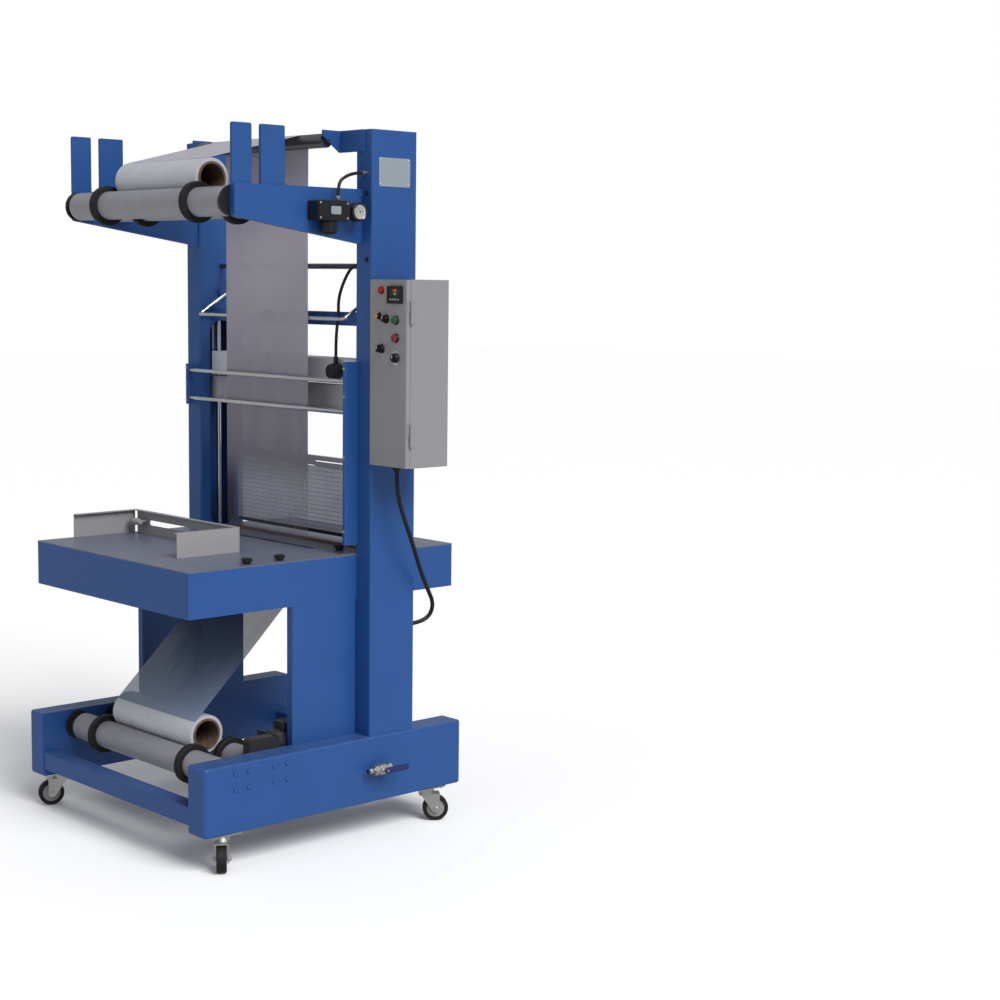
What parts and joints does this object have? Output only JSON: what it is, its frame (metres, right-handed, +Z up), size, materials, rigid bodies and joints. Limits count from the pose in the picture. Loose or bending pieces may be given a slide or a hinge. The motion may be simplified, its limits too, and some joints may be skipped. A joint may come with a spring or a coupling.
{
  "type": "web sealer",
  "caption": "Upright semi-automatic web sealer on casters with two film rolls on roller cradles, a film curtain between posts, a falling heated jaw, a pusher and a side control box",
  "frame": {"origin": "Centre of the bounding box at floor level.", "axes": "+X to the machine's right-hand side (the control box side), +Y the way the goods travel, from the operator to the exit, +Z up."},
  "size_m": [1.0936, 0.928, 2],
  "materials": {
    "blue_paint": "semi-gloss blue powder coat",
    "grey_paint": "warm grey powder coat",
    "tray_grey": "light grey painted sheet",
    "roller_steel": "ground steel roller with black rubber collars",
    "steel": "zinc-plated steel",
    "film": "translucent shrink film",
    "clear_plastic": "clear plastic sheet",
    "black_plastic": "black moulded plastic",
    "silicone": "red-brown silicone",
    "jaw_aluminium": "extruded aluminium",
    "wheel_tyre": "black rubber wheel",
    "cable_rubber": "black cable sheath",
    "hose_plastic": "black air hose",
    "red_plastic": "red moulded plastic",
    "green_plastic": "green moulded plastic",
    "navy_plastic": "dark blue plastic sleeve",
    "gear_grey": "grey painted casting",
    "brass_metal": "nickel-plated brass"
  },
  "bodies": {
    "frame": {"base_frame": "blue_paint", "caster_plates": "steel", "post_right": "blue_paint", "post_left": "blue_paint", "leg_panels": "blue_paint", "table_frame": "blue_paint", "table_top": "blue_paint", "lower_jaw": "jaw_aluminium", "silicone_strip": "silicone", "arm_right": "blue_paint", "arm_left": "blue_paint", "roller_bearings": "black_plastic", "film_guards": "blue_paint", "cross_members": "blue_paint", "jaw_cover": "tray_grey", "jaw_valve": "black_plastic", "lift_units": "steel", "exit_rail": "tray_grey", "control_box": "grey_paint", "box_internals": "black_plastic", "regulator": "black_plastic", "ball_valve": "brass_metal", "feed_motor": "gear_grey", "upper_web": "film", "lower_web": "film", "regulator_hose": "hose_plastic", "jaw_hose": "hose_plastic", "control_cable": "cable_rubber"},
    "fork_front_right": {"caster_fork_front_right": "steel"},
    "wheel_front_right": {"caster_wheel_front_right": "wheel_tyre"},
    "fork_rear_right": {"caster_fork_rear_right": "steel"},
    "wheel_rear_right": {"caster_wheel_rear_right": "wheel_tyre"},
    "fork_front_left": {"caster_fork_front_left": "steel"},
    "wheel_front_left": {"caster_wheel_front_left": "wheel_tyre"},
    "fork_rear_left": {"caster_fork_rear_left": "steel"},
    "wheel_rear_left": {"caster_wheel_rear_left": "wheel_tyre"},
    "top_front_roller": {"top_front_roller": "roller_steel"},
    "top_rear_roller": {"top_rear_roller": "roller_steel"},
    "top_film_roll": {"top_film_roll": "film"},
    "base_front_roller": {"base_front_roller": "roller_steel"},
    "base_rear_roller": {"base_rear_roller": "roller_steel"},
    "base_film_roll": {"base_film_roll": "film"},
    "top_idler": {"top_idler": "steel"},
    "dancer_bail": {"dancer_bail": "steel"},
    "jaw": {"jaw_beam": "jaw_aluminium", "heater_bar": "jaw_aluminium"},
    "exit_flap": {"exit_flap": "clear_plastic"},
    "pusher": {"pusher": "tray_grey"},
    "door": {"box_door": "grey_paint", "door_instruments": "black_plastic"},
    "mode_selector": {"mode_selector": "black_plastic"},
    "start_button": {"start_button": "green_plastic"},
    "stop_button": {"stop_button": "red_plastic"},
    "power_selector": {"power_selector": "black_plastic"},
    "timer_knob": {"timer_knob": "black_plastic"},
    "regulator_knob": {"regulator_knob": "black_plastic"},
    "valve_lever": {"valve_lever": "navy_plastic"},
    "knob_first": {"knob_first": "black_plastic"},
    "knob_second": {"knob_second": "black_plastic"},
    "knob_third": {"knob_third": "black_plastic"}
  },
  "joints": [
    {"name": "swivel_front_right", "type": "hinge", "parent": "frame", "child": "fork_front_right", "pos_m": [0.34425, -0.383, 0.095], "axis": [0, 0, 1], "continuous": true},
    {"name": "wheel_spin_front_right", "type": "hinge", "parent": "fork_front_right", "child": "wheel_front_right", "pos_m": [0.36746, -0.39866, 0.0375], "axis": [-0.5592, -0.829, 0], "continuous": true},
    {"name": "swivel_rear_right", "type": "hinge", "parent": "frame", "child": "fork_rear_right", "pos_m": [0.34425, 0.344, 0.095], "axis": [0, 0, 1], "continuous": true},
    {"name": "wheel_spin_rear_right", "type": "hinge", "parent": "fork_rear_right", "child": "wheel_rear_right", "pos_m": [0.35991, 0.36721, 0.0375], "axis": [0.829, -0.5592, 0], "continuous": true},
    {"name": "swivel_front_left", "type": "hinge", "parent": "frame", "child": "fork_front_left", "pos_m": [-0.50775, -0.383, 0.095], "axis": [0, 0, 1], "continuous": true},
    {"name": "wheel_spin_front_left", "type": "hinge", "parent": "fork_front_left", "child": "wheel_front_left", "pos_m": [-0.51733, -0.40931, 0.0375], "axis": [-0.9397, 0.342, 0], "continuous": true},
    {"name": "swivel_rear_left", "type": "hinge", "parent": "frame", "child": "fork_rear_left", "pos_m": [-0.50775, 0.344, 0.095], "axis": [0, 0, 1], "continuous": true},
    {"name": "wheel_spin_rear_left", "type": "hinge", "parent": "fork_rear_left", "child": "wheel_rear_left", "pos_m": [-0.515, 0.37105, 0.0375], "axis": [0.9659, 0.2588, 0], "continuous": true},
    {"name": "top_front_roller_spin", "type": "hinge", "parent": "frame", "child": "top_front_roller", "pos_m": [-0.08175, -0.315, 1.79], "axis": [1, 0, 0], "continuous": true},
    {"name": "top_rear_roller_spin", "type": "hinge", "parent": "frame", "child": "top_rear_roller", "pos_m": [-0.08175, -0.187, 1.79], "axis": [1, 0, 0], "continuous": true},
    {"name": "top_film_roll_spin", "type": "hinge", "parent": "frame", "child": "top_film_roll", "pos_m": [-0.08175, -0.251, 1.85926], "axis": [1, 0, 0], "continuous": true},
    {"name": "base_front_roller_spin", "type": "hinge", "parent": "frame", "child": "base_front_roller", "pos_m": [-0.08175, -0.343, 0.246], "axis": [1, 0, 0], "continuous": true},
    {"name": "base_rear_roller_spin", "type": "hinge", "parent": "frame", "child": "base_rear_roller", "pos_m": [-0.08175, -0.215, 0.246], "axis": [1, 0, 0], "continuous": true},
    {"name": "base_film_roll_spin", "type": "hinge", "parent": "frame", "child": "base_film_roll", "pos_m": [-0.08175, -0.279, 0.31526], "axis": [1, 0, 0], "continuous": true},
    {"name": "top_idler_spin", "type": "hinge", "parent": "frame", "child": "top_idler", "pos_m": [-0.08175, 0.0564, 1.972], "axis": [1, 0, 0], "continuous": true},
    {"name": "dancer_swing", "type": "hinge", "parent": "frame", "child": "dancer_bail", "pos_m": [-0.08175, 0.184, 1.542], "axis": [1, 0, 0], "range_deg": [0, 11]},
    {"name": "jaw_stroke", "type": "slide", "parent": "frame", "child": "jaw", "axis": [0, 0, -1], "range_m": [0, 0.3817]},
    {"name": "exit_flap_swing", "type": "hinge", "parent": "frame", "child": "exit_flap", "pos_m": [-0.08175, 0.241, 1.036], "axis": [1, 0, 0], "range_deg": [0, 80]},
    {"name": "pusher_slide", "type": "slide", "parent": "frame", "child": "pusher", "axis": [0, 1, 0], "range_m": [0, 0.17]},
    {"name": "door_swing", "type": "hinge", "parent": "frame", "child": "door", "pos_m": [0.54175, 0.1105, 1.3], "axis": [0, 0, 1], "range_deg": [0, 110]},
    {"name": "mode_selector_turn", "type": "hinge", "parent": "door", "child": "mode_selector", "pos_m": [0.44985, 0.096, 1.482], "axis": [0, 1, 0], "range_deg": [-45, 45]},
    {"name": "start_button_press", "type": "slide", "parent": "door", "child": "start_button", "axis": [0, 1, 0], "range_m": [0, 0.004], "stiffness_N_per_m": 300},
    {"name": "stop_button_press", "type": "slide", "parent": "door", "child": "stop_button", "axis": [0, 1, 0], "range_m": [0, 0.004], "stiffness_N_per_m": 300},
    {"name": "power_selector_turn", "type": "hinge", "parent": "door", "child": "power_selector", "pos_m": [0.43065, 0.096, 1.4], "axis": [0, 1, 0], "range_deg": [0, 90]},
    {"name": "timer_knob_turn", "type": "hinge", "parent": "door", "child": "timer_knob", "pos_m": [0.49145, 0.096, 1.376], "axis": [0, 1, 0], "range_deg": [0, 270]},
    {"name": "regulator_knob_turn", "type": "hinge", "parent": "frame", "child": "regulator_knob", "pos_m": [0.35825, -0.033, 1.73], "axis": [0, 0, 1], "range_deg": [0, 330]},
    {"name": "valve_lever_turn", "type": "hinge", "parent": "frame", "child": "valve_lever", "pos_m": [0.43825, 0.121, 0.205], "axis": [1, 0, 0], "range_deg": [0, 90]},
    {"name": "knob_first_turn", "type": "hinge", "parent": "frame", "child": "knob_first", "pos_m": [0.28025, -0.252, 0.814], "axis": [0, 0, 1], "range_deg": [0, 330]},
    {"name": "knob_second_turn", "type": "hinge", "parent": "frame", "child": "knob_second", "pos_m": [0.28025, -0.142, 0.814], "axis": [0, 0, 1], "range_deg": [0, 330]},
    {"name": "knob_third_turn", "type": "hinge", "parent": "frame", "child": "knob_third", "pos_m": [0.21825, 0.115, 0.814], "axis": [0, 0, 1], "range_deg": [0, 330]}
  ],
  "couplings": [
    {"joint": "top_rear_roller_spin", "follows": "top_front_roller_spin", "ratio": 1},
    {"joint": "top_film_roll_spin", "follows": "top_front_roller_spin", "ratio": -0.74074},
    {"joint": "top_idler_spin", "follows": "top_front_roller_spin", "ratio": -2},
    {"joint": "base_rear_roller_spin", "follows": "base_front_roller_spin", "ratio": 1},
    {"joint": "base_film_roll_spin", "follows": "base_front_roller_spin", "ratio": -0.74074}
  ]
}
